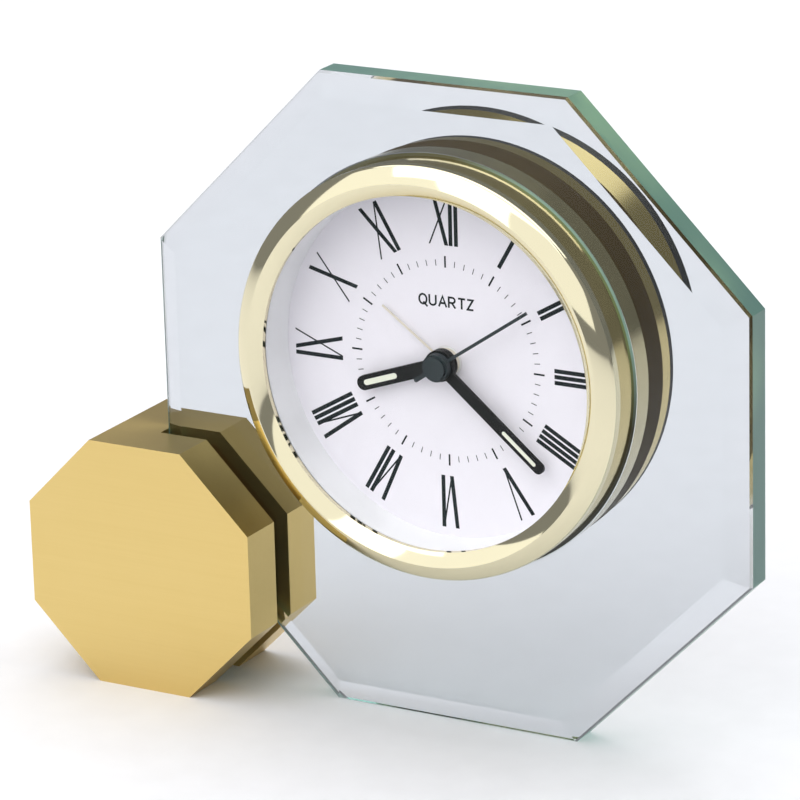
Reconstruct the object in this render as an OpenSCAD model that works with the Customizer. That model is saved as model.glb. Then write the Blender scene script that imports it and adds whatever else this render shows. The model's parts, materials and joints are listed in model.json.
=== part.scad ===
// Desk alarm clock: a bevelled glass octagon carries a round quartz alarm insert and stands
// in the slot of a brushed metal octagon block.
// +X is the viewer's right, +Y the back and +Z up. The origin lies on the table, under the
// middle of the clock's overall width and depth.

/* [Glass plate] */
// Width and height of the glass octagon across its flats
glass_w = 140; // [130:1:150]
// Thickness of the glass
glass_t = 9.5; // [9:0.1:10]
// Width of the polished bevel on the front, measured in the plane of the glass
bevel_w = 5.4; // [3:0.1:8]
// Depth of the polished bevel
bevel_t = 2.6; // [1.5:0.1:4]
// Width of the narrow arris that breaks the outer edges
arris = 0.5; // [0.2:0.1:1]

/* [Block] */
// Width of the metal octagon across its flats
block_w = 55.8; // [50:0.1:60]
// Metal in front of the glass, and the same again behind it
block_wall = 11.0; // [9:0.1:13]
// Clear film that bonds the glass into the slot, on each side of the glass
bond_t = 0.1; // [0.05:0.01:0.2]

/* [Insert] */
// Height of the dial's axis above the table
axis_h = 80.4; // [78:0.1:84]
// Outer radius of the insert's drum and bezel
drum_r = 44.7; // [44.3:0.1:45]
// Wall of the drum
drum_wall = 1.2; // [1:0.1:1.4]
// How far the drum's rim stands in front of the middle of the glass
drum_front = 10.6; // [10:0.1:12]
// How far the drum reaches behind the middle of the glass
drum_back = 17.4; // [17.2:0.1:18.5]
// Radius of the window that the bezel leaves
window_r = 38.3; // [38:0.1:39]

/* [Hands] */
// Clockwise angle of the hour hand from twelve
hour_angle = 251; // [0:1:359]
// Clockwise angle of the minute hand
minute_angle = 130; // [0:1:359]
// Clockwise angle of the second hand
second_angle = 56; // [0:1:359]
// Clockwise angle of the alarm hand
alarm_angle = 306; // [0:1:359]
// Length of the hour hand from the axis to its tip
hour_len = 21.5; // [18:0.1:23]
// Length of the minute hand
minute_len = 31.1; // [26:0.1:34]
// Length of the second hand
second_len = 25.5; // [22:0.1:30]
// Length of the alarm hand
alarm_len = 18.2; // [14:0.1:20]

/* [Gear train] */
// Module of the going train
train_module = 0.3; // [0.28:0.01:0.31]
// Play between the flanks of two meshing gears
backlash = 0.1; // [0.06:0.01:0.12]

/* [Hidden] */
$fn = 96;

// Depths, in names that end in _d or in front, back and in, are measured from the middle of
// the glass towards the viewer.
glass_face = glass_t / 2;
slot_t = glass_t + 2 * bond_t;
block_t = slot_t + 2 * block_wall;
knob_back = -drum_back - 2;

// where the dial's axis and the middle of the glass lie in the clock's own frame
axis_x = block_w / 4;
mid_y = (block_t / 2 + knob_back) / 2;

hole_r = drum_r + 0.6;
hole_chamfer = 0.3;
clearance = 0.04;
drum_in = drum_r - drum_wall;
// the rear cover closes the drum with a flange of the same radius
flange_t = 1.4;
band_t = 0.4;
band_len = 7;
bore_gap = 0.04;

// bezel and lens
lens_t = 1;
lens_r = window_r + 2.6;
wall_r = window_r + 0.3;
lens_back = drum_front + 0.4;
lens_front = lens_back + lens_t;
skirt_r = drum_in - 0.05;
skirt_back = drum_front - 2;
bezel_lip = 1.05;
bezel_edge = 0.2;
ridge_r = drum_r - 3.5;
ridge_d = lens_front + 2.8;

// dial
dial_t = 0.4;
dial_front = 1.8;
dial_back = dial_front - dial_t;
dial_hole_r = 3.4;

// movement case
case_w = 57;
case_top = 28;
case_bottom = -29;
case_front_d = 1.2;
case_split = -8;
case_back_d = -14.4;
case_wall = 1;
plate_in = case_front_d - case_wall;
rear_in = case_back_d + case_wall;
collar_r = 3.32;
post_r = 0.8;
pivot_boss_r = 1.6;
screw_boss_r = 1.8;

// self-tapping screws: their thread, its pilot hole, and the heads
thread_r = 0.8;
pilot_r = 0.85;
case_head_r = 1.7;
case_head_t = 0.6;
cover_head_r = 1.9;
cover_head_t = 0.9;
driver_w = 0.4;

// rear cover
cover_t = 2;
cover_r = drum_in - 0.1;
cover_in = -drum_back + cover_t;
lug_r = 2.6;
lug_at = drum_in - lug_r + 0.4;
lug_len = 4;
cell_r = 7.1;
cell_len = 49.2;
cell_y = -20.8;
cell_d = -6.3;
window = [55.2, 16.2];
window_y = -20.8;

// gear train: teeth, and where each arbor stands, as a distance and a direction from its mate
pressure = 25;
gear_t = 0.7;
pinion_t = 1.1;
pinion_z = 10;
step_z = 50;
second_z = 60;
third_z = 80;
centre_z = 75;
cannon_z = 12;
minute_z = 36;
hour_z = 40;
set_z = 12;
alarm_z = 45;
idler_z = 40;
work_module = 0.35;
centre_module = train_module * (pinion_z + third_z) / (pinion_z + centre_z);
hour_module = work_module * (cannon_z + minute_z) / (pinion_z + hour_z);
step_dir = 20;
rotor_dir = 30;
third_dir = 110;
minute_dir = 200;
set_dir = 170;
idler_dir = -30;
alarm_dir = 10;
function polar(r, a) = [r * cos(a), r * sin(a)];
function centre_gap(za, zb, m) = m * (za + zb) / 2;
step_at = polar(centre_gap(pinion_z, second_z, train_module), step_dir);
rotor_at = step_at + polar(centre_gap(pinion_z, step_z, train_module), rotor_dir);
third_at = polar(centre_gap(pinion_z, third_z, train_module), third_dir);
minute_at = polar(centre_gap(cannon_z, minute_z, work_module), minute_dir);
set_at = minute_at + polar(centre_gap(minute_z, set_z, work_module), set_dir);
idler_at = polar(centre_gap(alarm_z, idler_z, train_module), idler_dir);
knob_at = idler_at + polar(centre_gap(idler_z, set_z, train_module), alarm_dir);

// turn of gear b, in direction dir from gear a, that puts its gap on a tooth of a
function mesh_turn(dir, turn_a, za, zb) = dir + 180 - (180 - (dir - turn_a) * za) / zb;
step_turn = mesh_turn(step_dir, 0, second_z, pinion_z);
rotor_turn = mesh_turn(rotor_dir, step_turn, step_z, pinion_z);
third_turn = mesh_turn(third_dir, 0, pinion_z, third_z);
centre_turn = mesh_turn(third_dir + 180, third_turn, pinion_z, centre_z);
minute_turn = mesh_turn(minute_dir, 0, cannon_z, minute_z);
hour_turn = mesh_turn(minute_dir + 180, minute_turn, pinion_z, hour_z);
set_turn = mesh_turn(set_dir, minute_turn, minute_z, set_z);
idler_turn = mesh_turn(idler_dir, 0, alarm_z, idler_z);
knob_turn = mesh_turn(alarm_dir, idler_turn, idler_z, set_z);

// back face of each gear
alarm_d = -0.9;
hour_d = -2.4;
minute_d = -3.9;
centre_d = -5.6;
third_d = -7.2;
second_d = -8.8;
step_d = -10.4;
magnet_d = -12.4;
stator_d = -12.1;
stator_t = 0.7;
pinion_lap = (pinion_t - gear_t) / 2;

// radii of the nested arbors and pipes
second_arbor_r = 0.7;
minute_pipe_r = 1.5;
minute_bore_r = 0.8;
hour_pipe_r = 2.2;
hour_bore_r = 1.6;
alarm_pipe_r = 2.9;
alarm_bore_r = 2.3;
arbor_r = 0.5;
shaft_r = 1.2;
shaft_back = -17.6;
knob_front = -15.6;
knob_r = 5;
knob_hole_r = 5.5;
magnet_r = 3;

// back face of each hand
hand_t = 0.9;
thin_hand_t = 0.25;
alarm_hand_d = 2.6;
hour_hand_d = 3.5;
minute_hand_d = 4.6;
second_hand_d = 5.8;
hub_r = 3.4;
alarm_hub_r = 3.2;
alarm_hub_t = 0.7;
cap_r = 3;
cap_front = 7.2;
boss_r = 2.5;
boss_front = 7.9;

module stand_up(x, z) {
    translate([axis_x + x, mid_y, z]) rotate([90, 0, 0]) children();
}
module on_axis() {
    stand_up(0, axis_h) children();
}
module octagon(w) {
    rotate(22.5) circle(r = w / 2 / cos(22.5), $fn = 8);
}
module disc(r, d0, d1) {
    translate([0, 0, d0]) cylinder(r = r, h = d1 - d0);
}
module ring(ro, ri, d0, d1) {
    difference() {
        disc(ro, d0, d1);
        disc(ri, d0 - 1, d1 + 1);
    }
}
module box(x0, x1, y0, y1, d0, d1) {
    translate([x0, y0, d0]) cube([x1 - x0, y1 - y0, d1 - d0]);
}

// involute outline of a gear with z teeth
function involute(a) = tan(a) - a * PI / 180;
function flank(z, m, r) =
    let (rb = m * z / 2 * cos(pressure),
         half = (PI * m / 2 - backlash / 2) / (m * z),
         at = r > rb ? involute(acos(rb / r)) : 0)
    (half + involute(pressure) - at) * 180 / PI;
function gear_points(z, m) =
    let (rp = m * z / 2, rb = rp * cos(pressure), ra = rp + 0.8 * m, rf = rp - 1.1 * m,
         r0 = max(rb, rf), steps = 3,
         radii = concat(rf < rb ? [rf] : [], [for (i = [0:steps]) r0 + (ra - r0) * i / steps]),
         n = len(radii))
    [for (k = [0:z - 1]) for (i = [0:2 * n - 1])
        let (r = i < n ? radii[i] : radii[2 * n - 1 - i],
             side = i < n ? -1 : 1)
        polar(r, 360 * k / z + side * flank(z, m, r))];
module gear(z, m, d, t, turn) {
    translate([0, 0, d]) rotate(turn) linear_extrude(t) polygon(gear_points(z, m));
}
module wheel(z, m, d, turn) {
    gear(z, m, d, gear_t, turn);
}
module pinion(z, m, d, turn) {
    gear(z, m, d - pinion_lap, pinion_t, turn);
}

// ---- glass and block ----
module glass_plate() {
    a = glass_w / 2;
    color([0.75, 0.9, 0.86, 0.4]) stand_up(0, glass_w / 2) difference() {
        translate([0, 0, -glass_face]) linear_extrude(glass_t) octagon(glass_w);
        for (i = [0:7]) rotate(45 * i) {
            translate([a - bevel_w, -a, glass_face])
                rotate([0, atan(bevel_t / bevel_w), 0]) cube([a, glass_w, a]);
            // the arris is square to the bisector of the two faces that it breaks
            translate([a, -a, glass_face - bevel_t - arris])
                rotate([0, -32, 0]) translate([0, 0, -a]) cube([a, glass_w, 2 * a]);
            translate([a, -a, -glass_face + arris])
                rotate([0, 45, 0]) translate([0, 0, -a]) cube([a, glass_w, 2 * a]);
        }
        translate([0, axis_h - a, 0]) {
            disc(hole_r, -glass_t, glass_t);
            translate([0, 0, glass_face - hole_chamfer])
                cylinder(r1 = hole_r, r2 = hole_r + 2 * hole_chamfer, h = 2 * hole_chamfer);
        }
    }
}
module at_block() {
    stand_up(-glass_w / 2, block_w / 2) children();
}
module slotted_block() {
    color("goldenrod") at_block() difference() {
        translate([0, 0, -block_t / 2]) linear_extrude(block_t) octagon(block_w);
        box(-bond_t, block_w, -block_w, block_w, -slot_t / 2, slot_t / 2);
    }
}
module slot_bond() {
    // two films, cut to the part of the block that backs the glass
    film_t = bond_t - clearance;
    color([0.9, 0.9, 0.85, 0.5]) at_block() for (side = [-1, 1])
        translate([0, 0, side < 0 ? -slot_t / 2 : slot_t / 2 - film_t]) linear_extrude(film_t)
            intersection() {
                octagon(block_w - 6);
                translate([side < 0 ? 1 : bevel_w + 1, -block_w]) square([block_w, 2 * block_w]);
                translate([glass_w / 2, glass_w / 2 - block_w / 2])
                    octagon(glass_w - (side < 0 ? 2 : 2 * bevel_w + 2));
                translate([glass_w / 2, axis_h - block_w / 2]) difference() {
                    square(400, center = true);
                    circle(r = hole_r + 1.5);
                }
            }
}

// ---- insert housing ----
module insert_drum() {
    color("gold") on_axis() difference() {
        union() {
            ring(drum_r, drum_in, -drum_back + flange_t, drum_front);
            for (i = [0:3]) rotate(90 * i) intersection() {
                translate([lug_at, 0, 0]) disc(lug_r, cover_in, cover_in + lug_len);
                disc(drum_in + drum_wall / 2, cover_in, cover_in + lug_len);
            }
        }
        for (i = [0:3]) rotate(90 * i) translate([lug_at, 0, 0])
            disc(pilot_r, cover_in - 1, cover_in + 3.3);
    }
}
module drum_gasket() {
    // clear sealant that fills the gap between the drum and the hole
    color([0.75, 0.85, 0.8]) on_axis()
        ring(hole_r - clearance, drum_r, -glass_face, glass_face - hole_chamfer);
}
module retaining_band() {
    // rubber band stretched over the drum, close behind the glass
    color("saddlebrown") on_axis()
        ring(drum_r + band_t, drum_r, -glass_face - 0.1 - band_len, -glass_face - 0.1);
}
// points after a, up to b, on a curve that bulges to the right of the way by sag
function bowed(a, b, sag, steps = 6) =
    let (way = b - a, side = [way.y, -way.x] / norm(way))
    [for (i = [1:steps]) let (t = i / steps) a + way * t + side * sag * 4 * t * (1 - t)];
module bezel() {
    edge = [drum_r, lens_front + bezel_edge];
    shoulder = edge + [-0.4, 0.7];
    ridge = [ridge_r, ridge_d];
    color("gold") on_axis() rotate_extrude() polygon(concat(
        [[drum_r, drum_front], edge],
        bowed(edge, shoulder, 0.08, 3),
        bowed(shoulder, ridge, 0.12),
        bowed(ridge, [window_r, lens_front + bezel_lip], 0.1),
        [[window_r, lens_front], [lens_r, lens_front], [lens_r, skirt_back],
         [skirt_r, skirt_back], [skirt_r, drum_front]]
    ));
}
module lens() {
    color([0.95, 0.97, 1, 0.25]) on_axis() disc(lens_r - 0.05, lens_back, lens_front);
}
module chapter_ring_wall() {
    color("white") on_axis() ring(lens_r - 0.05, wall_r, dial_front, lens_back);
}
module dial() {
    color("white") on_axis() ring(drum_in - 0.1, dial_hole_r, dial_back, dial_front);
}
module movement_holder() {
    color("ivory") on_axis() difference() {
        disc(drum_in - 0.1, -3, dial_back);
        box(-case_w / 2 - 0.1, case_w / 2 + 0.1, case_bottom - 0.1, case_top + 0.1, -4, 2);
    }
}
module rear_cover() {
    color("dimgray") on_axis() difference() {
        union() {
            disc(cover_r, -drum_back, cover_in);
            disc(drum_r, -drum_back, -drum_back + flange_t);
            // rim that meets the movement case
            box(-10, 10, 23, 27, cover_in, case_back_d);
        }
        box(-window.x / 2, window.x / 2, window_y - window.y / 2, window_y + window.y / 2,
            -drum_back - 1, cover_in + 1);
        translate(set_at) disc(knob_hole_r, -drum_back - 1, cover_in + 1);
        translate(knob_at) disc(knob_hole_r, -drum_back - 1, cover_in + 1);
        box(-6, 6, 12, 17, -drum_back - 1, cover_in + 1);
        for (i = [0:3]) rotate(90 * i) translate([lug_at, 0, 0])
            disc(thread_r + 0.3, -drum_back - 1, cover_in + 1);
        for (i = [0:3]) rotate(90 * i) translate([lug_at, 0, 0])
            disc(cover_head_r + 0.15, -drum_back - 1, -drum_back + cover_head_t);
        translate([-22, 16]) {
            disc(0.8, -drum_back - 1, cover_in + 1);
            for (i = [0:5]) rotate(60 * i) translate([3, 0, 0])
                disc(0.8, -drum_back - 1, cover_in + 1);
        }
    }
}
module cover_screws() {
    color("silver") on_axis() for (i = [0:3]) rotate(90 * i) translate([lug_at, 0, 0])
        difference() {
            union() {
                disc(cover_head_r, -drum_back, -drum_back + cover_head_t);
                disc(thread_r, -drum_back + cover_head_t / 2, cover_in + 3);
            }
            for (a = [0, 90]) rotate(a)
                box(-1.1, 1.1, -driver_w / 2, driver_w / 2, -drum_back - 1, -drum_back + 0.5);
        }
}
module battery_door() {
    w = window.x - 0.4;
    h = window.y - 0.4;
    color("dimgray") on_axis() translate([0, window_y, 0]) difference() {
        union() {
            box(-w / 2, w / 2, -h / 2, h / 2, -drum_back, -drum_back + 1.4);
            box(-4, 4, h / 2 - 1.2, h / 2, -drum_back, -drum_back + 2.2);
        }
        for (i = [-2:2]) box(-6, 6, 3 + i * 1.2, 3.6 + i * 1.2, -drum_back - 1, -drum_back + 0.4);
    }
}

// ---- battery and electrics ----
module battery() {
    color("steelblue") on_axis() translate([-cell_len / 2 - 0.4, cell_y, cell_d])
        rotate([0, 90, 0]) {
            cylinder(r = cell_r, h = cell_len);
            cylinder(r = 2.7, h = cell_len + 1);
        }
}
module contact_plus() {
    x0 = cell_len / 2 + 0.6;
    x1 = case_w / 2 - case_wall;
    color("silver") on_axis() {
        box(x1 - 0.4, x1, cell_y - 5, cell_y + 5, cell_d - 5, cell_d + 5);
        translate([x0, cell_y, cell_d]) rotate([0, 90, 0]) cylinder(r = 2, h = x1 - x0 - 0.4);
    }
}
module contact_minus() {
    x0 = -case_w / 2 + case_wall;
    x1 = -cell_len / 2 - 0.4;
    color("silver") on_axis() {
        box(x0, x0 + 0.4, cell_y - 5, cell_y + 5, cell_d - 5, cell_d + 5);
        translate([x0 + 0.4, cell_y, cell_d]) rotate([0, 90, 0])
            cylinder(r1 = 4, r2 = 2.5, h = x1 - x0 - 0.4);
    }
}
module screw_corners() {
    for (p = [[-25, 24.5], [25, 24.5], [-25, -9.5], [25, -9.5]]) translate(p) children();
}
module case_front() {
    color("white") on_axis() difference() {
        union() {
            difference() {
                box(-case_w / 2, case_w / 2, case_bottom, case_top, case_split, case_front_d);
                box(-case_w / 2 + case_wall, case_w / 2 - case_wall, case_bottom + case_wall,
                    case_top - case_wall, case_split - 1, plate_in);
            }
            disc(collar_r, plate_in, dial_front);
            translate(minute_at) disc(post_r, -4.3, plate_in);
            translate(idler_at) disc(post_r, -1.4, plate_in);
            translate(third_at) disc(pivot_boss_r, -4.2, plate_in);
            screw_corners() disc(screw_boss_r, case_split, plate_in);
        }
        disc(alarm_pipe_r + bore_gap, plate_in - 1, dial_front + 1);
        translate(third_at) disc(arbor_r + bore_gap, -5, plate_in - 0.5);
        screw_corners() disc(pilot_r, case_split - 1, -2);
        // the cell sits in a channel that is open to the front case
        translate([-case_w / 2 + case_wall, cell_y, cell_d]) rotate([0, 90, 0])
            cylinder(r = cell_r + 0.1, h = case_w - 2 * case_wall);
    }
}
module case_rear() {
    color("white") on_axis() difference() {
        union() {
            difference() {
                box(-case_w / 2, case_w / 2, case_bottom, case_top, case_back_d, case_split);
                box(-case_w / 2 + case_wall, case_w / 2 - case_wall, case_bottom + case_wall,
                    case_top - case_wall, rear_in, case_split + 1);
            }
            for (p = [[0, 0], step_at, rotor_at, third_at])
                translate(p) disc(1.4, case_back_d, rear_in + 0.4);
            screw_corners() disc(screw_boss_r, case_back_d, case_split);
        }
        disc(second_arbor_r + bore_gap, rear_in - 0.5, case_split);
        for (p = [step_at, rotor_at, third_at])
            translate(p) disc(arbor_r + bore_gap, rear_in - 0.5, case_split);
        for (p = [set_at, knob_at])
            translate(p) disc(shaft_r + bore_gap, case_back_d - 1, case_split);
        screw_corners() {
            disc(thread_r + 0.25, case_back_d - 1, case_split + 1);
            disc(case_head_r + 0.05, case_back_d - 1, case_back_d + case_head_t);
        }
        box(-27, 27, window_y - 7.6, window_y + 7.6, case_back_d - 1, rear_in + 1);
        box(-3, 3, 12.5, 16.5, case_back_d - 1, rear_in + 1);
    }
}
module case_screws() {
    color("silver") on_axis() screw_corners() difference() {
        union() {
            disc(case_head_r, case_back_d, case_back_d + case_head_t);
            disc(thread_r, case_back_d + case_head_t / 2, -3);
        }
        box(-1.2, 1.2, -driver_w / 2, driver_w / 2, case_back_d - 1, case_back_d + 0.4);
    }
}
module train_bridge() {
    // carries the front pivots of the rotor and the step wheel
    d0 = -7.6;
    d1 = -6.1;
    color("ivory") on_axis() difference() {
        union() {
            translate([0, 0, d0]) linear_extrude(d1 - d0) {
                translate(step_at) circle(r = pivot_boss_r);
                translate(rotor_at) circle(r = 1.8);
                hull() {
                    translate(step_at) circle(r = 1.2, $fn = 32);
                    translate(rotor_at) circle(r = 1.2, $fn = 32);
                }
                hull() {
                    translate(rotor_at) circle(r = 1.2, $fn = 32);
                    translate([26, 14]) circle(r = 1.4, $fn = 32);
                }
            }
            box(25.5, case_w / 2 - case_wall, 10, 18, d0, d1);
        }
        translate(step_at) disc(arbor_r + bore_gap, d0 - 1, d1 - 0.6);
        translate(rotor_at) disc(arbor_r + bore_gap, d0 - 1, d1 - 0.6);
    }
}
module circuit_board() {
    color("darkgreen") on_axis() box(-27, -18.4, -7, 22, rear_in + 0.2, rear_in + 1);
}
module quartz_crystal() {
    color("silver") on_axis() translate([-22.5, 2, rear_in + 2.1]) rotate([-90, 0, 0])
        cylinder(r = 1.1, h = 6.5);
}
module chip_cap() {
    color("black") on_axis() translate([-22.5, -2.5, 0]) disc(2, rear_in + 1, rear_in + 1.9);
}
module buzzer() {
    color("black") on_axis() translate([-22, 16, 0]) difference() {
        disc(4.2, rear_in + 1, rear_in + 5.5);
        disc(0.9, rear_in + 5, rear_in + 6);
    }
}
coil_y = 20.6;
coil_d = stator_d + stator_t + 0.35;
coil_len = 10.6;
flange_w = 0.6;
module coil() {
    color("sienna") on_axis() difference() {
        translate([17.5 - coil_len / 2, coil_y, coil_d]) rotate([0, 90, 0]) union() {
            cylinder(r = 2.1, h = coil_len);
            cylinder(r = 2.3, h = flange_w);
            translate([0, 0, coil_len - flange_w]) cylinder(r = 2.3, h = flange_w);
        }
        box(10, 25, coil_y - 1.3, coil_y + 1.3, coil_d - 0.35, coil_d + 0.35);
    }
}
module coil_core() {
    color("gray") on_axis()
        box(8.6, 26.4, coil_y - 1.3, coil_y + 1.3, coil_d - 0.35, coil_d + 0.35);
}
module stator() {
    // two pole arms from the core's ends to the rotor
    color("gray") on_axis() translate([0, 0, stator_d]) linear_extrude(stator_t) difference() {
        union() {
            translate(rotor_at) circle(r = 5);
            polygon([[8.6, coil_y + 1.3], [8.6, coil_y - 1.3], rotor_at + [-4, 0],
                rotor_at + [4, 0], [26.4, coil_y - 1.3], [26.4, coil_y + 1.3],
                [24.2, coil_y + 1.3], [24.2, coil_y - 1.3], rotor_at + [2.5, 4],
                rotor_at + [-2.5, 4], [10.8, coil_y - 1.3], [10.8, coil_y + 1.3]]);
        }
        translate(rotor_at) circle(r = magnet_r + 0.5);
    }
}

// ---- going train ----
module rotor() {
    color("white") on_axis() translate(rotor_at) {
        disc(arbor_r, rear_in - 0.3, -6.8);
        disc(1.6, magnet_d + 1.4, step_d - pinion_lap);
        pinion(pinion_z, train_module, step_d, rotor_turn);
    }
}
module rotor_magnet() {
    color("dimgray") on_axis() translate(rotor_at) ring(magnet_r, arbor_r, magnet_d, magnet_d + 1.4);
}
module step_wheel() {
    color("white") on_axis() translate(step_at) {
        disc(arbor_r, rear_in - 0.3, -6.8);
        wheel(step_z, train_module, step_d, step_turn);
        pinion(pinion_z, train_module, second_d, step_turn);
        disc(1, step_d, second_d);
    }
}
module second_wheel() {
    color("white") on_axis() {
        disc(second_arbor_r, rear_in - 0.3, second_hand_d + 0.5);
        wheel(second_z, train_module, second_d, 0);
        pinion(pinion_z, train_module, third_d, 0);
        disc(1, second_d, third_d);
    }
}
module third_wheel() {
    color("white") on_axis() translate(third_at) {
        disc(arbor_r, rear_in - 0.3, -3.6);
        wheel(third_z, train_module, third_d, third_turn);
        pinion(pinion_z, centre_module, centre_d, third_turn);
        disc(1, third_d, centre_d);
    }
}
module centre_wheel() {
    // friction drive on the minute arbor
    color("white") on_axis() difference() {
        union() {
            wheel(centre_z, centre_module, centre_d, centre_turn);
            disc(2.6, centre_d - 0.4, centre_d + gear_t);
        }
        disc(minute_pipe_r + 0.02, centre_d - 1, centre_d + 2);
    }
}
module minute_arbor() {
    color("gold") on_axis() difference() {
        union() {
            disc(minute_pipe_r, centre_d - 0.4, minute_hand_d + hand_t);
            pinion(cannon_z, work_module, minute_d, 0);
        }
        disc(minute_bore_r, centre_d - 1, minute_hand_d + 2);
    }
}
module minute_wheel() {
    color("white") on_axis() translate(minute_at) difference() {
        union() {
            wheel(minute_z, work_module, minute_d, minute_turn);
            pinion(pinion_z, hour_module, hour_d, minute_turn);
            disc(1.25, minute_d, hour_d);
        }
        disc(post_r + bore_gap, minute_d - 1, hour_d + 2);
    }
}
module hour_wheel() {
    color("white") on_axis() difference() {
        union() {
            wheel(hour_z, hour_module, hour_d, hour_turn);
            disc(hour_pipe_r, hour_d, hour_hand_d + hand_t);
        }
        disc(hour_bore_r, hour_d - 1, hour_hand_d + 2);
    }
}
module alarm_wheel() {
    color("white") on_axis() difference() {
        union() {
            wheel(alarm_z, train_module, alarm_d, 0);
            disc(alarm_pipe_r, alarm_d, alarm_hand_d + alarm_hub_t);
        }
        disc(alarm_bore_r, alarm_d - 1, alarm_hand_d + 2);
    }
}
module alarm_idler() {
    color("white") on_axis() translate(idler_at) difference() {
        wheel(idler_z, train_module, alarm_d, idler_turn);
        disc(post_r + bore_gap, alarm_d - 1, alarm_d + 2);
    }
}
module alarm_contact() {
    // leaf spring with its foot on the front half of the case
    color("peru") on_axis() {
        box(-22, -3, -12.2, -11.9, -2.5, -0.5);
        box(-22, -18, -12.2, -9, plate_in - 0.3, plate_in);
        box(-22, -18, -12.2, -11.9, -2.5, plate_in);
    }
}
module time_shaft() {
    color("white") on_axis() translate(set_at) {
        disc(shaft_r, shaft_back, minute_d);
        pinion(set_z, work_module, minute_d, set_turn);
    }
}
module alarm_shaft() {
    color("white") on_axis() translate(knob_at) {
        disc(shaft_r, shaft_back, alarm_d);
        pinion(set_z, train_module, alarm_d, knob_turn);
    }
}
module knob() {
    difference() {
        disc(knob_r, knob_back, knob_front);
        disc(shaft_r, shaft_back, knob_front + 1);
        for (i = [0:23]) rotate(15 * i) translate([knob_r + 0.25, 0, 0])
            disc(0.5, knob_back - 1, knob_front + 1);
        for (a = [0, 90]) rotate(a) box(-2.6, 2.6, -0.4, 0.4, knob_back - 1, knob_back + 0.5);
    }
}
module time_knob() {
    color("black") on_axis() translate(set_at) knob();
}
module alarm_knob() {
    color("black") on_axis() translate(knob_at) knob();
}
module alarm_switch() {
    color("black") on_axis() translate([-1.5, 0, 0]) {
        box(-3.6, 3.6, 12.2, 16.8, -15.3, -14.5);
        box(-2, 2, 12.6, 16.4, -18.6, -15.3);
        box(-0.6, 0.6, 13.5, 15.5, -14.5, -13);
    }
}

// ---- hands ----
module hand_outline(len, w) {
    translate([0, len - w / 2]) circle(r = w / 2);
    translate([-w / 2, 0]) square([w, len - w / 2]);
}
module lume_outline(from, to, w) {
    translate([0, from + w / 2]) circle(r = w / 2);
    translate([0, to - w / 2]) circle(r = w / 2);
    translate([-w / 2, from + w / 2]) square([w, to - from - w]);
}
hour_w = 3.2;
minute_w = 2.4;
// each slot's start, end and width
hour_slot = [hour_len - 10.1, hour_len - 1.7, 1.25];
minute_slot = [minute_len - 11.9, minute_len - 2, 0.85];
module hour_hand() {
    color("black") on_axis() rotate(-hour_angle) difference() {
        union() {
            translate([0, 0, hour_hand_d]) linear_extrude(hand_t) difference() {
                hand_outline(hour_len, hour_w);
                lume_outline(hour_slot[0], hour_slot[1], hour_slot[2]);
            }
            disc(hub_r, hour_hand_d, hour_hand_d + hand_t);
        }
        disc(hour_pipe_r, hour_hand_d - 1, hour_hand_d + 2);
    }
}
module hour_lume() {
    color("palegoldenrod") on_axis() rotate(-hour_angle) translate([0, 0, hour_hand_d])
        linear_extrude(hand_t) lume_outline(hour_slot[0], hour_slot[1], hour_slot[2]);
}
module minute_hand() {
    color("black") on_axis() rotate(-minute_angle) difference() {
        union() {
            translate([0, 0, minute_hand_d]) linear_extrude(hand_t) difference() {
                hand_outline(minute_len, minute_w);
                lume_outline(minute_slot[0], minute_slot[1], minute_slot[2]);
            }
            disc(hub_r, minute_hand_d, minute_hand_d + hand_t);
        }
        disc(minute_pipe_r, minute_hand_d - 1, minute_hand_d + 2);
    }
}
module minute_lume() {
    color("palegoldenrod") on_axis() rotate(-minute_angle) translate([0, 0, minute_hand_d])
        linear_extrude(hand_t) lume_outline(minute_slot[0], minute_slot[1], minute_slot[2]);
}
module second_hand() {
    tail = 6.8;
    tail_w = 1;
    w = 0.7;
    color("darkslategray") on_axis() rotate(-second_angle) difference() {
        union() {
            translate([0, 0, second_hand_d]) linear_extrude(thin_hand_t) {
                translate([-w / 2, 0]) square([w, second_len]);
                rotate(180) hand_outline(tail, tail_w);
            }
            disc(cap_r, second_hand_d, cap_front);
            disc(boss_r, second_hand_d, boss_front);
        }
        disc(second_arbor_r, second_hand_d - 1, second_hand_d + 0.5);
    }
}
module alarm_hand() {
    w = 0.4;
    color("khaki") on_axis() rotate(-alarm_angle) difference() {
        union() {
            translate([-w / 2, 0, alarm_hand_d]) cube([w, alarm_len, thin_hand_t]);
            disc(alarm_hub_r, alarm_hand_d, alarm_hand_d + alarm_hub_t);
        }
        disc(alarm_pipe_r, alarm_hand_d - 1, alarm_hand_d + 2);
    }
}

glass_plate();
slotted_block();
slot_bond();
insert_drum();
drum_gasket();
retaining_band();
bezel();
lens();
chapter_ring_wall();
dial();
movement_holder();
rear_cover();
cover_screws();
battery_door();
battery();
contact_plus();
contact_minus();
case_front();
case_rear();
case_screws();
train_bridge();
circuit_board();
quartz_crystal();
chip_cap();
buzzer();
coil();
coil_core();
stator();
rotor();
rotor_magnet();
step_wheel();
second_wheel();
third_wheel();
centre_wheel();
minute_arbor();
minute_wheel();
hour_wheel();
alarm_wheel();
alarm_idler();
alarm_contact();
time_shaft();
time_knob();
alarm_shaft();
alarm_knob();
alarm_switch();
hour_hand();
hour_lume();
minute_hand();
minute_lume();
second_hand();
alarm_hand();
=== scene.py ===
"""Looks of the desk alarm clock: materials, dial print, small details, camera and light.

All lengths are in metres, in the clock's own frame: +X right, +Y back, +Z up.
"""
import json
import math

import bmesh
import bpy
from mathutils import Matrix, Vector


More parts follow.
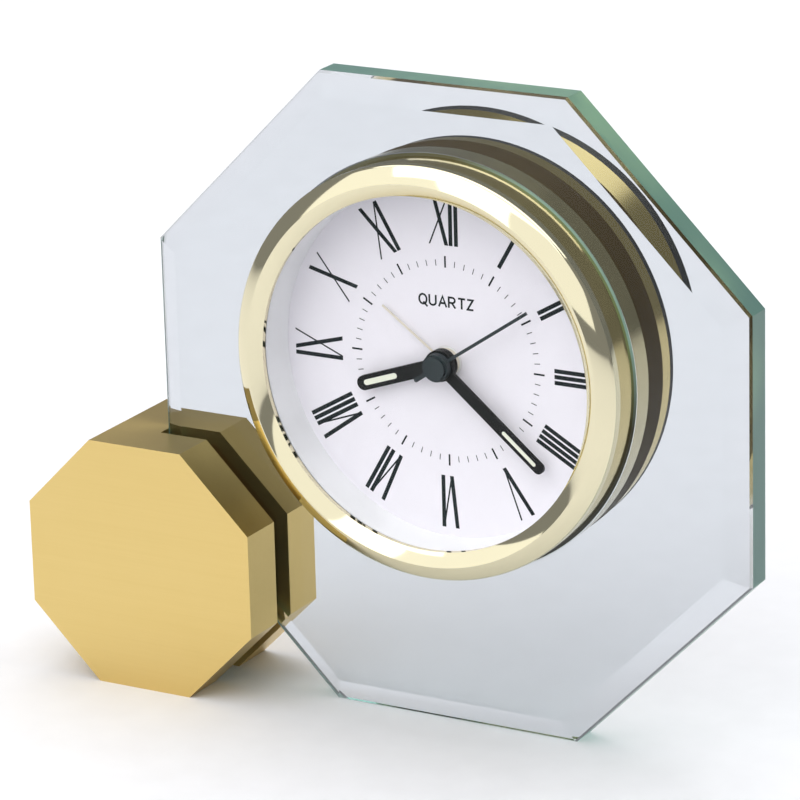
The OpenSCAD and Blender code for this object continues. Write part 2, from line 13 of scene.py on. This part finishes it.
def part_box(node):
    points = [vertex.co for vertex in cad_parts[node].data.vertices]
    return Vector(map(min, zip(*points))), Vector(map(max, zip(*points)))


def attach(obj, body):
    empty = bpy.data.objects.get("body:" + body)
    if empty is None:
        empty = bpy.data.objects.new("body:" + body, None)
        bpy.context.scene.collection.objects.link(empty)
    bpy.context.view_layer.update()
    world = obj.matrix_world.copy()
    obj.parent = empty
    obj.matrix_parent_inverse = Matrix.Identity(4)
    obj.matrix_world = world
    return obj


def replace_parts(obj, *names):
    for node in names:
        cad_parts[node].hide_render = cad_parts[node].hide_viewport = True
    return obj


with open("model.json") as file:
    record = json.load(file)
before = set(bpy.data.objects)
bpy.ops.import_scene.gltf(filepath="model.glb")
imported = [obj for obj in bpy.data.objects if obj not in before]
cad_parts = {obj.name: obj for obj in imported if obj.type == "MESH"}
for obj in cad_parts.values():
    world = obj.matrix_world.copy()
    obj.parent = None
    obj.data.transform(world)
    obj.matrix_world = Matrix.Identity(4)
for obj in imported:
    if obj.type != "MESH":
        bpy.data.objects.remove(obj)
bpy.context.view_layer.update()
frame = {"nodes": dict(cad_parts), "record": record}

MM = 0.001
scene = bpy.context.scene

# ---- places that the frame gives ----
bezel_low, bezel_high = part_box("bezel")
axis_x = (bezel_low.x + bezel_high.x) / 2
axis_z = (bezel_low.z + bezel_high.z) / 2
dial_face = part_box("dial")[0].y
cover_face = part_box("rear_cover")[1].y
door_low, door_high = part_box("battery_door")
seal_low, seal_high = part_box("drum_gasket")
seal_r = (seal_high.x - seal_low.x) / 2


# ---- camera ----
def view_axes(azimuth, elevation, roll):
    """Right, up and back of a camera that looks from azimuth (0 is the front) and elevation."""
    azimuth, elevation, roll = (math.radians(a) for a in (azimuth, elevation, roll))
    back = Vector((
        math.sin(azimuth) * math.cos(elevation),
        -math.cos(azimuth) * math.cos(elevation),
        math.sin(elevation),
    ))
    level = Vector((math.cos(azimuth), math.sin(azimuth), 0))
    upright = back.cross(level)
    right = level * math.cos(roll) - upright * math.sin(roll)
    up = level * math.sin(roll) + upright * math.cos(roll)
    return right, up, back


def make_camera():
    aim = Vector((5.3, -9, 72.3)) * MM
    distance = 954.6 * MM
    right, up, back = view_axes(azimuth=29.86, elevation=17.92, roll=1.53)
    data = bpy.data.cameras.new("camera")
    data.lens = 205.5
    data.sensor_width = 36
    data.clip_start = 0.01
    data.clip_end = 20
    camera = bpy.data.objects.new("camera", data)
    turn = Matrix((right, up, back)).transposed().to_4x4()
    camera.matrix_world = Matrix.Translation(aim + back * distance) @ turn
    scene.collection.objects.link(camera)
    scene.camera = camera


# ---- material tools ----
class Tree:
    """A material's nodes, with one short method for each thing that the materials need."""

    def __init__(self, name):
        self.material = bpy.data.materials.new(name)
        self.material.use_nodes = True
        self.nodes = self.material.node_tree.nodes
        self.links = self.material.node_tree.links
        self.nodes.clear()
        self.out = self.nodes.new("ShaderNodeOutputMaterial")
        self.shader = self.nodes.new("ShaderNodeBsdfPrincipled")
        self.link(self.shader.outputs[0], self.out.inputs["Surface"])
        self.place = self.nodes.new("ShaderNodeTexCoord").outputs["Object"]

    def link(self, source, target):
        self.links.new(source, target)

    def set(self, **values):
        """Sets plain values on the shader: Base_Color stands for "Base Color"."""
        for name, value in values.items():
            if name.endswith("Color") or name.endswith("Tint"):
                value = (*value, 1)
            self.shader.inputs[name.replace("_", " ")].default_value = value

    def feed(self, name, source):
        self.link(source, self.shader.inputs[name])

    def noise(self, size, stretch=(1, 1, 1), detail=3, roughness=0.55):
        """Noise whose patches are about size metres across, longer along an axis by stretch."""
        mapping = self.nodes.new("ShaderNodeMapping")
        mapping.inputs["Scale"].default_value = [1 / (size * s) for s in stretch]
        self.link(self.place, mapping.inputs["Vector"])
        node = self.nodes.new("ShaderNodeTexNoise")
        node.inputs["Scale"].default_value = 1
        node.inputs["Detail"].default_value = detail
        node.inputs["Roughness"].default_value = roughness
        self.link(mapping.outputs[0], node.inputs["Vector"])
        return node.outputs["Fac"]

    def spread(self, source, low, high, start=0.3, end=0.7):
        """source's start to end, mapped to low to high."""
        node = self.nodes.new("ShaderNodeMapRange")
        self.link(source, node.inputs["Value"])
        node.inputs["From Min"].default_value = start
        node.inputs["From Max"].default_value = end
        node.inputs["To Min"].default_value = low
        node.inputs["To Max"].default_value = high
        return node.outputs[0]

    def blend(self, factor, first, second):
        """first where factor is 0 and second where it is 1: each is a colour or a socket."""
        node = self.nodes.new("ShaderNodeMix")
        node.data_type = "RGBA"
        self.link(factor, node.inputs[0])
        for value, socket in ((first, node.inputs[6]), (second, node.inputs[7])):
            if isinstance(value, tuple):
                socket.default_value = (*value, 1)
            else:
                self.link(value, socket)
        return node.outputs[2]

    def add(self, first, second):
        node = self.nodes.new("ShaderNodeMath")
        node.operation = "ADD"
        self.link(first, node.inputs[0])
        self.link(second, node.inputs[1])
        return node.outputs[0]

    def facing_y(self):
        """1 on surfaces that are square to Y, and 0 on those along it."""
        normal = self.nodes.new("ShaderNodeNewGeometry").outputs["True Normal"]
        split = self.nodes.new("ShaderNodeSeparateXYZ")
        self.link(normal, split.inputs[0])
        node = self.nodes.new("ShaderNodeMath")
        node.operation = "ABSOLUTE"
        self.link(split.outputs["Y"], node.inputs[0])
        return node.outputs[0]

    def from_axis(self):
        """Distance from the dial's axis."""
        flat = self.nodes.new("ShaderNodeMapping")
        flat.inputs["Scale"].default_value = (1, 0, 1)
        flat.inputs["Location"].default_value = (-axis_x, 0, -axis_z)
        self.link(self.place, flat.inputs["Vector"])
        node = self.nodes.new("ShaderNodeVectorMath")
        node.operation = "LENGTH"
        self.link(flat.outputs[0], node.inputs[0])
        return node.outputs["Value"]

    def bump(self, height, depth, strength=1.0):
        node = self.nodes.new("ShaderNodeBump")
        node.inputs["Strength"].default_value = strength
        node.inputs["Distance"].default_value = depth
        self.link(height, node.inputs["Height"])
        self.feed("Normal", node.outputs[0])


WHITE = (1, 1, 1)


def shade(colour, amount):
    return tuple(c * amount for c in colour)


# ---- materials ----
def plain_glass(name, tint, index=1.52, shine=1.0):
    """Clear glass that lets the lamps light what is behind it. A shine below 1 dims its mirror."""
    tree = Tree(name)
    tree.set(Transmission_Weight=1.0, IOR=index, Roughness=0.0, Specular_Tint=shade(WHITE, shine))
    smudge = tree.noise(18 * MM, detail=2)
    tree.feed("Base Color", tree.blend(smudge, WHITE, shade(WHITE, 0.99)))
    path = tree.nodes.new("ShaderNodeLightPath")
    clear = tree.nodes.new("ShaderNodeBsdfTransparent")
    clear.inputs["Color"].default_value = (*tint, 1)
    mix = tree.nodes.new("ShaderNodeMixShader")
    tree.link(path.outputs["Is Shadow Ray"], mix.inputs[0])
    tree.link(tree.shader.outputs[0], mix.inputs[1])
    tree.link(clear.outputs[0], mix.inputs[2])
    tree.link(mix.outputs[0], tree.out.inputs["Surface"])
    return tree


def clear_glass():
    """Plate glass, green in its depth: clear on its faces and in the hole, with green ground edges."""
    edge_green = (0.24, 0.47, 0.40)
    face_grey = (0.73, 0.73, 0.76)
    tree = plain_glass("clear_glass", (0.93, 0.95, 0.94), shine=0.15)
    face = tree.spread(tree.facing_y(), 0, 1, 0.2, 0.5)
    hole = tree.spread(tree.from_axis(), 1, 0, seal_r + 1 * MM, seal_r + 2 * MM)
    clear = tree.spread(tree.add(face, hole), 0, 1, 0, 1)
    tree.feed("Roughness", tree.spread(clear, 0.3, 0.0, 0, 1))
    tree.feed("Transmission Weight", tree.spread(clear, 0.6, 1.0, 0, 1))
    tree.feed("Base Color", tree.blend(clear, edge_green, face_grey))
    green = tree.nodes.new("ShaderNodeVolumeAbsorption")
    green.inputs["Color"].default_value = (0.375, 0.8, 0.75, 1)
    green.inputs["Density"].default_value = 9
    tree.link(green.outputs[0], tree.out.inputs["Volume"])
    return tree.material


def lens_glass():
    return plain_glass("lens_glass", (0.97, 0.97, 0.97), index=1.25, shine=0.2).material


def bond_film():
    """Its faces almost vanish, as a bond with the same index as the glass makes them."""
    return plain_glass("bond_film", (0.97, 0.97, 0.96), index=1.02).material


def metal(name, colour, roughness, cloud=12 * MM, grain=0.0, **values):
    """Metal with slow tone changes and, if grain is given, a fine matt grain that deep."""
    tree = Tree(name)
    tree.set(Metallic=1.0, **values)
    patches = tree.noise(cloud, detail=4)
    tree.feed("Base Color", tree.blend(patches, shade(colour, 0.94), colour))
    tree.feed("Roughness", tree.spread(patches, roughness * 0.85, roughness * 1.15))
    if grain:
        tree.bump(tree.noise(0.15 * MM, detail=2), grain)
    return tree


def brushed_brass():
    """Straight brushing along X, in two sizes of line, over slow changes of tone."""
    tree = Tree("brushed_brass")
    tree.set(Metallic=1.0, Anisotropic=0.35)
    fine = tree.noise(0.08 * MM, stretch=(260, 1, 1), detail=4, roughness=0.7)
    broad = tree.noise(0.9 * MM, stretch=(60, 1, 1), detail=3)
    slow = tree.noise(25 * MM, detail=2)
    lines = tree.add(fine, broad)
    deep, bright, worn = (0.73, 0.54, 0.20), (0.76, 0.57, 0.22), (0.78, 0.60, 0.26)
    tone = tree.blend(tree.spread(lines, 0, 1, 0.6, 1.4), deep, bright)
    tree.feed("Base Color", tree.blend(tree.spread(slow, 0, 0.2), tone, worn))
    tree.feed("Roughness", tree.spread(lines, 0.28, 0.34, 0.6, 1.4))
    tree.bump(lines, 0.006 * MM, 0.4)
    return tree.material


def polished_brass():
    return metal("polished_brass", (0.80, 0.74, 0.52), 0.06, Specular_Tint=(1.0, 0.97, 0.9)).material


def satin_brass():
    return metal("satin_brass", (0.64, 0.53, 0.25), 0.12).material


def wall_brass():
    """The drum's brass as the ground wall of the hole shows it."""
    return metal("wall_brass", (0.50, 0.43, 0.21), 0.14).material


def arbor_brass():
    return metal("arbor_brass", (0.78, 0.62, 0.30), 0.25).material


def screw_steel():
    return metal("screw_steel", (0.56, 0.56, 0.55), 0.28, cloud=1.5 * MM).material


def nickel_strip():
    return metal("nickel_strip", (0.68, 0.66, 0.60), 0.24, cloud=3 * MM).material


def crystal_can():
    return metal("crystal_can", (0.72, 0.72, 0.72), 0.2, cloud=3 * MM).material


def core_iron():
    return metal("core_iron", (0.42, 0.41, 0.40), 0.38, cloud=2 * MM, grain=0.01 * MM).material


def magnet():
    return metal("magnet", (0.16, 0.16, 0.165), 0.45, cloud=1 * MM, grain=0.01 * MM).material


def copper_wire():
    """Enamelled wire wound round an axis along X: its turns are fine rings."""
    tree = Tree("copper_wire")
    tree.set(Metallic=1.0, Coat_Weight=0.6, Coat_Roughness=0.15)
    wave = tree.nodes.new("ShaderNodeTexWave")
    wave.bands_direction = "X"
    wave.inputs["Scale"].default_value = 1500
    tree.link(tree.place, wave.inputs["Vector"])
    tree.feed("Base Color", tree.blend(wave.outputs["Fac"], (0.30, 0.09, 0.03), (0.62, 0.24, 0.09)))
    tree.feed("Roughness", tree.spread(wave.outputs["Fac"], 0.25, 0.4, 0, 1))
    tree.bump(wave.outputs["Fac"], 0.05 * MM)
    return tree.material


def plastic(name, colour, roughness, grain=0.0, grain_size=0.3 * MM, **values):
    """Moulded plastic or paint: slow tone changes, and a spark-eroded grain if one is given.

    With None for colour, the caller feeds the colour.
    """
    tree = Tree(name)
    tree.set(**values)
    slow = tree.noise(9 * MM, detail=3)
    if colour:
        tree.feed("Base Color", tree.blend(slow, shade(colour, 0.93), colour))
    tree.feed("Roughness", tree.spread(slow, roughness * 0.9, roughness * 1.1))
    if grain:
        tree.bump(tree.noise(grain_size, detail=3), grain)
    return tree


def white_plastic():
    return plastic("white_plastic", (0.90, 0.91, 0.92), 0.38, 0.01 * MM).material


def natural_plastic():
    return plastic("natural_plastic", (0.74, 0.70, 0.58), 0.4, Subsurface_Weight=0.1,
                   Subsurface_Radius=(1 * MM, 1 * MM, 1 * MM)).material


def dark_plastic():
    return plastic("dark_plastic", (0.020, 0.020, 0.022), 0.48, 0.05 * MM).material


def clear_sealant():
    """Sealant in the hole, with light and shade painted by place round the axis: a painted teal glow at
    the upper right, painted olive light at the upper left, and painted shade below the axis.
    """
    # Colours of painted light and shade, not the sealant's own colour.
    painted_glow_teal, painted_olive_light, dark = (0.26, 0.42, 0.38), (0.09, 0.09, 0.05), (0.015, 0.018, 0.015)
    tree = plastic("clear_sealant", None, 0.35, 0.02 * MM, 0.8 * MM,
                   Coat_Weight=0.4, Coat_Roughness=0.2)
    split = tree.nodes.new("ShaderNodeSeparateXYZ")
    tree.link(tree.place, split.inputs[0])
    # Painted shade: the sealant goes dark below the axis, by height alone.
    height = tree.spread(split.outputs["Z"], 0, 1, axis_z - 8 * MM, axis_z + 10 * MM)
    # Painted light: a teal glow towards the upper right, olive towards the upper left.
    across = tree.spread(split.outputs["X"], 0, 1, axis_x + 4 * MM, axis_x + 22 * MM)
    upper = tree.blend(across, painted_olive_light, painted_glow_teal)
    tree.feed("Base Color", tree.blend(height, dark, upper))
    return tree.material


def brown_rubber():
    return plastic("brown_rubber", (0.060, 0.038, 0.012), 0.5, Specular_IOR_Level=0.15).material


def black_epoxy():
    return plastic("black_epoxy", (0.012, 0.012, 0.013), 0.35, 0.02 * MM, 0.6 * MM).material


def board_green():
    """A green board whose solder mask shows faint straight tracks."""
    mask, track = (0.012, 0.09, 0.035), (0.03, 0.20, 0.08)
    tree = plastic("board_green", None, 0.3, Coat_Weight=0.4, Coat_Roughness=0.2)
    tracks = tree.spread(tree.noise(1.2 * MM, stretch=(1, 1, 9), detail=1), 0, 1, 0.48, 0.52)
    tree.feed("Base Color", tree.blend(tracks, mask, track))
    tree.bump(tracks, 0.03 * MM)
    return tree.material


def cell_jacket():
    """A plain two-tone jacket: a copper band at the plus end of a dark cell."""
    dark, copper = (0.010, 0.012, 0.016), (0.55, 0.26, 0.10)
    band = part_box("battery")[1].x - 15 * MM
    tree = plastic("cell_jacket", None, 0.22, Metallic=0.5, Coat_Weight=0.5, Coat_Roughness=0.1)
    split = tree.nodes.new("ShaderNodeSeparateXYZ")
    tree.link(tree.place, split.inputs[0])
    edge = tree.spread(split.outputs["X"], 0, 1, band, band + 0.1 * MM)
    tree.feed("Base Color", tree.blend(edge, dark, copper))
    return tree.material


def dial_white():
    return plastic("dial_white", (0.85, 0.83, 0.885), 0.5, 0.004 * MM, 0.2 * MM).material


def hand_black():
    return plastic("hand_black", (0.012, 0.013, 0.013), 0.42, 0.006 * MM, 0.12 * MM,
                   Specular_IOR_Level=0.1).material


def hand_slate():
    return plastic("hand_slate", (0.020, 0.030, 0.033), 0.45, 0.006 * MM, 0.12 * MM,
                   Specular_IOR_Level=0.3).material


def hand_gold():
    return plastic("hand_gold", (0.70, 0.65, 0.54), 0.35, 0.004 * MM, Metallic=0.3).material


def lume():
    return plastic("lume", (0.80, 0.83, 0.70), 0.7, 0.03 * MM, 0.12 * MM).material


def print_ink():
    return plastic("print_ink", (0.010, 0.016, 0.017), 0.55, 0.003 * MM, 0.1 * MM,
                   Specular_IOR_Level=0.15).material


def pale_mark():
    return plastic("pale_mark", (0.55, 0.55, 0.56), 0.5, 0.01 * MM, 0.2 * MM).material


MAKERS = {m.__name__: m for m in (
    clear_glass, lens_glass, bond_film, brushed_brass, polished_brass, satin_brass, arbor_brass,
    screw_steel, nickel_strip, crystal_can, core_iron, magnet, copper_wire, white_plastic,
    natural_plastic, dark_plastic, clear_sealant, brown_rubber, black_epoxy, board_green,
    cell_jacket, dial_white, hand_black, hand_slate, hand_gold, lume,
)}


def dress_nodes():
    """Every CAD node gets the material that is named after its slot in the record."""
    made = {slot: make() for slot, make in MAKERS.items()}
    for part in frame["record"]["subparts"]:
        node = frame["nodes"][part["node"]]
        node.data.materials.clear()
        node.data.materials.append(made[part["material_slot"]])
    return made


# ---- pieces ----
def add_piece(name, bm, material, body):
    bmesh.ops.recalc_face_normals(bm, faces=bm.faces)
    mesh = bpy.data.meshes.new(name)
    bm.to_mesh(mesh)
    bm.free()
    mesh.materials.append(material)
    piece = bpy.data.objects.new(name, mesh)
    scene.collection.objects.link(piece)
    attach(piece, body)
    return piece


def prism(bm, outline, back, front):
    """A closed plate between two depths. outline is a list of (x, z); back and front are y."""
    rear = [bm.verts.new((x, back, z)) for x, z in outline]
    face = [bm.verts.new((x, front, z)) for x, z in outline]
    bm.faces.new(rear)
    bm.faces.new(face)
    for i in range(len(outline)):
        j = (i + 1) % len(outline)
        bm.faces.new((rear[i], rear[j], face[j], face[i]))


def stroke(start, end, width):
    """The four corners of a straight bar whose ends are level, as a pen's are on a numeral."""
    (x0, r0), (x1, r1) = start, end
    half = width / 2
    return [(x0 - half, r0), (x0 + half, r0), (x1 + half, r1), (x1 - half, r1)]


def ribbon(bm, line, width, back, front, closed=False):
    """A flat band of one width along a line of (x, z), with mitred corners."""
    points = [Vector(p) for p in line]
    last = len(points) - 1
    rims = []
    for i, here in enumerate(points):
        into = here - points[i - 1] if closed or i > 0 else points[1] - here
        out = points[(i + 1) % len(points)] - here if closed or i < last else into
        side_in = Vector((-into.y, into.x)).normalized()
        side_out = Vector((-out.y, out.x)).normalized()
        mitre = (side_in + side_out).normalized()
        reach = mitre * (width / 2 / max(mitre.dot(side_in), 0.5))
        rims.append([
            bm.verts.new((p.x, y, p.y)) for p in (here - reach, here + reach) for y in (back, front)
        ])
    pairs = list(zip(rims, rims[1:] + rims[:1] if closed else rims[1:]))
    for (a, b, c, d), (e, f, g, h) in pairs:
        for face in ((a, e, f, b), (c, d, h, g), (a, c, g, e), (b, f, h, d)):
            bm.faces.new(face)
    if not closed:
        for a, b, c, d in (rims[0], rims[-1]):
            bm.faces.new((a, b, d, c))


def arc(centre, across, height, start, end, steps=12):
    """Points on part of an ellipse; the angles run from right to up, in degrees."""
    angles = [math.radians(start + (end - start) * i / steps) for i in range(steps + 1)]
    return [(centre[0] + across * math.cos(a), centre[1] + height * math.sin(a)) for a in angles]


def moved(points, place, size=1.0):
    return [(place[0] + x * size, place[1] + z * size) for x, z in points]


def on_dial(points, degrees):
    """Points given across and out from the axis, turned clockwise to their place on the dial."""
    a = math.radians(degrees)
    return [
        (axis_x + x * math.cos(a) + r * math.sin(a), axis_z - x * math.sin(a) + r * math.cos(a))
        for x, r in points
    ]


# Height of the print. Thin strokes are lower, so that their faces don't meet the thick ones'.
PRINT = 0.02 * MM
THIN_PRINT = PRINT * 0.8
THICK = 0.90 * MM
THIN = 0.36 * MM
NUMERAL_IN = 25.2 * MM
NUMERAL_OUT = 36.7 * MM
# Each letter: its strokes as (place at the foot, place at the top, width), and what it takes up.
LETTERS = {
    "I": ([(0, 0, THICK)], 1.28 * MM),
    "V": ([(1.15 * MM, 0, THICK), (1.15 * MM, 3.2 * MM, THIN)], 3.2 * MM),
    "X": ([(3.1 * MM, 0, THICK), (-0.9 * MM, 3.9 * MM, THIN)], 4.1 * MM),
}
NUMERALS = ["XII", "I", "II", "III", "IIII", "V", "VI", "VII", "VIII", "IX", "X", "XI"]
# Each tick: its inner radius, outer radius and width.
HOUR_TICK = (20.4 * MM, 22.9 * MM, 0.40 * MM)
MINUTE_TICK = (20.7 * MM, 22.0 * MM, 0.17 * MM)


def numeral_strokes(letters):
    """A numeral's strokes, centred on its own width."""
    strokes = []
    across = 0
    for letter in letters:
        shapes, advance = LETTERS[letter]
        strokes += [(foot + across, top + across, width) for foot, top, width in shapes]
        across += advance
    reach = [s[1] for s in strokes]
    middle = (min(reach) + max(reach)) / 2
    return [(foot - middle, top - middle, width) for foot, top, width in strokes]


def make_numerals(ink):
    bm = bmesh.new()
    for hour, letters in enumerate(NUMERALS):
        for foot, top, width in numeral_strokes(letters):
            bar = stroke((foot, NUMERAL_IN), (top, NUMERAL_OUT), width)
            height = PRINT if width == THICK else THIN_PRINT
            prism(bm, on_dial(bar, hour * 30), dial_face, dial_face - height)
    add_piece("dial_numerals", bm, ink, "stand")


def make_ticks(ink):
    bm = bmesh.new()
    for minute in range(60):
        inner, outer, width = HOUR_TICK if minute % 5 == 0 else MINUTE_TICK
        bar = stroke((0, inner), (0, outer), width)
        prism(bm, on_dial(bar, minute * 6), dial_face, dial_face - PRINT)
    add_piece("dial_ticks", bm, ink, "stand")


# The dial's word, on letters one unit high: each one's lines, and what it takes up.
WORD = [
    ([arc((0.42, 0.5), 0.37, 0.44, 0, 360, 20), [(0.46, 0.26), (0.86, -0.14)]], 1.06),
    ([[(0, 1), *arc((0.32, 0.34), 0.32, 0.28, 180, 360, 8), (0.64, 1)]], 0.94),
    ([[(0, 0), (0.37, 0.96), (0.74, 0)], [(0.16, 0.34), (0.58, 0.34)]], 0.98),
    ([[(0, 0), (0, 0.94), *arc((0.34, 0.70), 0.26, 0.24, 90, -90, 8), (0, 0.46)],
      [(0.30, 0.46), (0.64, 0)]], 0.92),
    ([[(0, 0.94), (0.70, 0.94)], [(0.35, 0.94), (0.35, 0)]], 0.90),
    ([[(0, 0.94), (0.56, 0.94), (0.02, 0.06), (0.60, 0.06)]], 0.60),
]
WORD_HEIGHT = 2.4 * MM
WORD_FOOT = 11.8 * MM
WORD_LINE = 0.42 * MM


def make_word(ink):
    bm = bmesh.new()
    across = -sum(advance for _, advance in WORD) / 2 * WORD_HEIGHT
    for lines, advance in WORD:
        for line in lines:
            placed = on_dial(moved(line, (across, WORD_FOOT), WORD_HEIGHT), 0)
            ribbon(bm, placed, WORD_LINE, dial_face, dial_face - PRINT)
        across += advance * WORD_HEIGHT
    add_piece("dial_word", bm, ink, "stand")


def turned(name, profile, material, steps=360):
    """A ring on the stand: a closed profile of (radius, y), turned round the dial's axis."""
    bm = bmesh.new()
    turn = [2 * math.pi * i / steps for i in range(steps)]
    rings = [
        [bm.verts.new((axis_x + r * math.cos(a), y, axis_z + r * math.sin(a))) for a in turn]
        for r, y in profile
    ]
    for here, there in zip(rings, rings[1:] + rings[:1]):
        for i in range(steps):
            j = (i + 1) % steps
            bm.faces.new((here[i], here[j], there[j], there[i]))
    for face in bm.faces:
        face.smooth = True
    piece = add_piece(name, bm, material, "stand")
    piece.data.set_sharp_from_angle(angle=math.radians(15))
    return piece


def make_hole_lining():
    """A skin just inside the glass, because the wet wall of the hole shows the brass drum."""
    inner_gap, outer_gap, end_gap = 0.02 * MM, 0.10 * MM, 0.05 * MM
    inner, outer = seal_r + inner_gap, seal_r + outer_gap
    front, back = seal_low.y + end_gap, seal_high.y - end_gap
    profile = [(inner, front), (outer, front), (outer, back), (inner, back)]
    turned("hole_lining", profile, wall_brass())


def bowed(start, end, sag, steps=16):
    """Points after start, up to end, on a curve that stands proud of its chord by sag."""
    start, end = Vector(start), Vector(end)
    way = end - start
    side = Vector((-way.y, way.x)).normalized()
    shares = [i / steps for i in range(1, steps + 1)]
    return [start + way * t + side * (sag * 4 * t * (1 - t)) for t in shares]


def make_bezel(brass):
    """The bezel in finer curves than the CAD's, because a polished ring shows every facet."""
    lens_gap = 0.05 * MM
    lip_reach = 2.6 * MM
    skirt_wall = 0.85 * MM
    edge_rise = 0.2 * MM
    shoulder_in, shoulder_rise = 0.4 * MM, 0.9 * MM
    ridge_in = 3.5 * MM
    lip_rise = 1.05 * MM
    edge_sag, crown_sag, cone_sag = 0.08 * MM, 0.12 * MM, 0.10 * MM
    outer = (bezel_high.x - bezel_low.x) / 2
    lens_low, lens_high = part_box("lens")
    seat = (lens_high.x - lens_low.x) / 2 + lens_gap
    window = seat - lip_reach
    skirt = outer - skirt_wall
    lens_face = lens_low.y
    drum_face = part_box("insert_drum")[0].y
    edge = (outer, lens_face - edge_rise)
    shoulder = (outer - shoulder_in, lens_face - shoulder_rise)
    ridge = (outer - ridge_in, bezel_low.y)
    lip = (window, lens_face - lip_rise)
    profile = [
        (outer, drum_face), edge,
        *bowed(edge, shoulder, edge_sag),
        *bowed(shoulder, ridge, crown_sag),
        *bowed(ridge, lip, cone_sag),
        (window, lens_face), (seat, lens_face), (seat, bezel_high.y),
        (skirt, bezel_high.y), (skirt, drum_face),
    ]
    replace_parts(turned("bezel_ring", profile, brass), "bezel")


# ---- marks on the back ----
# The marks' line, their sizes, and their places from the knobs, the switch and the axis.
MARK = 0.35 * MM
ARROW_R = 7 * MM
ARROW_HEAD = 1.1 * MM
KNOB_MARK_UP = 9.6 * MM
SWITCH_MARK_OUT = 9 * MM
BELL_SIZE = 1.2 * MM
CLOCK_R = 1.5 * MM
OFF_R = 1.2 * MM
DOOR_MARK_DROP = 2.5 * MM
SIGN_OUT = 21 * MM
SIGN_LINE = 0.5 * MM


def centre_of(node):
    low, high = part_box(node)
    return (low.x + high.x) / 2, (low.z + high.z) / 2


def bell():
    """Outline of a bell, two units wide."""
    return [(-1, -0.6), (-0.66, -0.3), *arc((0, 0.2), 0.58, 0.7, 180, 0, 10), (0.66, -0.3), (1, -0.6)]


def turning_arrow(bm, centre, front):
    """An arrow round a knob, open at the bottom."""
    line = arc(centre, ARROW_R, ARROW_R, 35, 145, 16)
    ribbon(bm, line, MARK, cover_face, front)
    tip = line[-1]
    head = [(-0.2, -0.9), (-0.75, 0.45), (0.75, 0.35)]
    prism(bm, moved(head, tip, ARROW_HEAD), cover_face, front)


def make_rear_marks(paint):
    front = cover_face + PRINT
    bm = bmesh.new()
    for knob in ("time_knob", "alarm_knob"):
        turning_arrow(bm, centre_of(knob), front)
    x, z = centre_of("time_knob")
    above = (x, z + KNOB_MARK_UP)
    ribbon(bm, arc(above, CLOCK_R, CLOCK_R, 0, 345, 23), MARK, cover_face, front, closed=True)
    ribbon(bm, moved([(0, 1), (0, 0), (0.7, 0.3)], above, MM), MARK * 0.8, cover_face, front)
    x, z = centre_of("alarm_knob")
    prism(bm, moved(bell(), (x, z + KNOB_MARK_UP), BELL_SIZE), cover_face, front)
    x, z = axis_x, centre_of("alarm_switch")[1]
    prism(bm, moved(bell(), (x + SWITCH_MARK_OUT, z), BELL_SIZE), cover_face, front)
    ring = arc((x - SWITCH_MARK_OUT, z), OFF_R, OFF_R, 0, 340, 17)
    ribbon(bm, ring, MARK, cover_face, front, closed=True)
    add_piece("cover_marks", bm, paint, "stand")


def make_door_marks(paint):
    """Plus and minus, and a battery's outline between them."""
    back = door_high.y
    bm = bmesh.new()
    z = (door_low.z + door_high.z) / 2 - DOOR_MARK_DROP
    reach = 1.3
    level = [(-reach, 0), (reach, 0)]
    upright = [(0, -reach), (0, reach)]
    for side, bars in ((1, [level, upright]), (-1, [level])):
        place = (axis_x + side * SIGN_OUT, z)
        for bar in bars:
            ribbon(bm, moved(bar, place, MM), SIGN_LINE, back, back + PRINT)
    cell = [(-14, -2.2), (13, -2.2), (13, -0.9), (14, -0.9), (14, 0.9), (13, 0.9), (13, 2.2), (-14, 2.2)]
    ribbon(bm, moved(cell, (axis_x, z), MM), MARK, back, back + PRINT, closed=True)
    add_piece("door_marks", bm, paint, "door")


# ---- stage, light ----
def make_stage():
    """A pale floor that runs back past the camera's view."""
    half = 3.0
    corners = [(-half, -half), (half, -half), (half, half), (-half, half)]
    bm = bmesh.new()
    bm.faces.new([bm.verts.new((x, y, 0)) for x, y in corners])
    mesh = bpy.data.meshes.new("floor")
    bm.to_mesh(mesh)
    bm.free()
    mesh.materials.append(plastic("floor", (0.86, 0.86, 0.885), 0.8).material)
    stage = bpy.data.objects.new("floor", mesh)
    scene.collection.objects.link(stage)


def softbox(name, place, aim, size, power, spread=180):
    data = bpy.data.lights.new(name, "AREA")
    data.shape = "RECTANGLE"
    data.size, data.size_y = size
    data.energy = power
    data.spread = math.radians(spread)
    lamp = bpy.data.objects.new(name, data)
    lamp.location = place
    direction = Vector(aim) - Vector(place)
    lamp.rotation_euler = direction.to_track_quat("-Z", "Y").to_euler()
    scene.collection.objects.link(lamp)


def make_lights():
    middle = (0, 0, 0.07)
    softbox("key", (-0.85, -1.25, 1.2), middle, (2.2, 2.2), 15)
    softbox("front", (0.3, -1.5, 0.95), middle, (2.0, 1.5), 8.5)
    softbox("top", (0.0, -0.6, 1.4), middle, (2.1, 1.1), 7)
    softbox("back", (0.0, 0.6, 1.3), (0, 0.6, 0), (2.4, 1.4), 14, spread=140)
    world = bpy.data.worlds.new("world")
    scene.world = world
    world.use_nodes = True
    sky = world.node_tree.nodes["Background"]
    sky.inputs["Color"].default_value = (0.95, 0.97, 1.0, 1)
    sky.inputs["Strength"].default_value = 0.28


make_camera()
made = dress_nodes()
ink = print_ink()
make_numerals(ink)
make_ticks(ink)
make_word(ink)
make_hole_lining()
make_bezel(made["polished_brass"])
marks = pale_mark()
make_rear_marks(marks)
make_door_marks(marks)
make_stage()
make_lights()
scene.view_settings.view_transform = "Standard"
scene.cycles.max_bounces = 32
scene.cycles.transmission_bounces = 32

bpy.context.view_layer.update()
